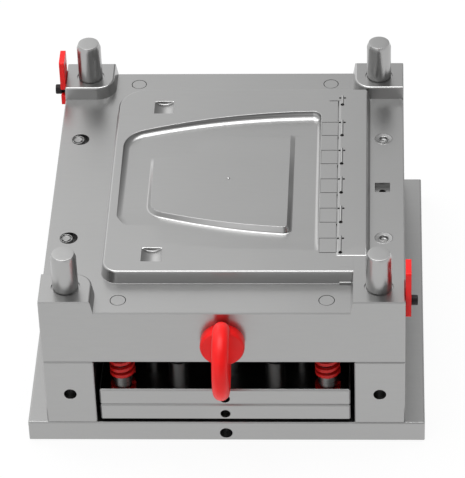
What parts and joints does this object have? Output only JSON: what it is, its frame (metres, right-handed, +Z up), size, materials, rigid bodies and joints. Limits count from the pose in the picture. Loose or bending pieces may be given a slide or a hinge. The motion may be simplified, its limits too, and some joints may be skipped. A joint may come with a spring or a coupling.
{
  "type": "box lid mould",
  "caption": "Moving half of an injection mould for a hinged box lid: raised lid core, guide pins, sprung ejector set, lifting eye and two safety straps.",
  "frame": {"origin": "centre of the clamp plate's bottom face, at the mouth of the knockout bore", "axes": "+X towards the hinge side, +Y from the eyebolt's face to the back, +Z up towards the parting face"},
  "size_m": [0.5, 0.586, 0.277],
  "materials": {
    "plate_steel": "ground plate steel, lightly oiled",
    "core_steel": "milled and fine-finished core steel",
    "pin_steel": "hardened and ground, bright",
    "red_paint": "bright red paint over steel",
    "spring_red": "red lacquered spring steel",
    "black_oxide": "black oxide on screw steel"
  },
  "bodies": {
    "mould_half": {"clamp_plate": "plate_steel", "spacer_left": "plate_steel", "spacer_right": "plate_steel", "core_plate": "plate_steel", "core_insert": "core_steel", "hinge_bar": "core_steel", "hinge_end_block": "core_steel", "knuckle_rods": "pin_steel", "guide_pin_front_left": "pin_steel", "guide_pin_front_right": "pin_steel", "guide_pin_back_left": "pin_steel", "guide_pin_back_right": "pin_steel", "pillar_front_left": "pin_steel", "pillar_front_right": "pin_steel", "pillar_back_left": "pin_steel", "pillar_back_right": "pin_steel", "middle_pillar_front": "pin_steel", "middle_pillar_back": "pin_steel", "ejector_guide_front_left": "pin_steel", "ejector_guide_front_right": "pin_steel", "ejector_guide_back_left": "pin_steel", "ejector_guide_back_right": "pin_steel", "clamp_screws": "black_oxide", "spacer_screws": "black_oxide", "insert_screws": "black_oxide", "bar_screws": "black_oxide", "pillar_screws": "black_oxide", "rest_buttons": "pin_steel", "eyebolt": "red_paint", "strap_screw_left": "black_oxide", "strap_screw_right": "black_oxide", "lock_screws_left": "pin_steel", "lock_bushes_right": "pin_steel", "return_spring_front_left": "spring_red", "return_spring_front_right": "spring_red", "return_spring_back_left": "spring_red", "return_spring_back_right": "spring_red"},
    "ejector_set": {"retainer_plate": "plate_steel", "ejector_plate": "plate_steel", "return_pin_front_left": "pin_steel", "return_pin_front_right": "pin_steel", "return_pin_back_left": "pin_steel", "return_pin_back_right": "pin_steel", "spring_collars": "pin_steel", "hinge_block_1": "core_steel", "hinge_block_2": "core_steel", "hinge_block_3": "core_steel", "hinge_block_4": "core_steel", "hinge_block_5": "core_steel", "ejector_rods": "pin_steel", "centre_pin": "pin_steel", "plate_screws": "black_oxide", "guide_bush_front_left": "pin_steel", "guide_bush_front_right": "pin_steel", "guide_bush_back_left": "pin_steel", "guide_bush_back_right": "pin_steel"},
    "left_strap": {"strap_left": "red_paint"},
    "right_strap": {"strap_right": "red_paint"}
  },
  "joints": [
    {"name": "ejector_stroke", "type": "slide", "parent": "mould_half", "child": "ejector_set", "axis": [0, 0, 1], "range_m": [0, 0.028], "stiffness_N_per_m": 80000, "springref_m": -0.01, "deforming": ["return_spring_front_left", "return_spring_front_right", "return_spring_back_left", "return_spring_back_right"]},
    {"name": "strap_left_swing", "type": "hinge", "parent": "mould_half", "child": "left_strap", "pos_m": [-0.2287, 0.22, 0.2065], "axis": [1, 0, 0], "range_deg": [0, 90]},
    {"name": "strap_right_swing", "type": "hinge", "parent": "mould_half", "child": "right_strap", "pos_m": [0.2287, -0.22, 0.2065], "axis": [-1, 0, 0], "range_deg": [0, 90]}
  ]
}
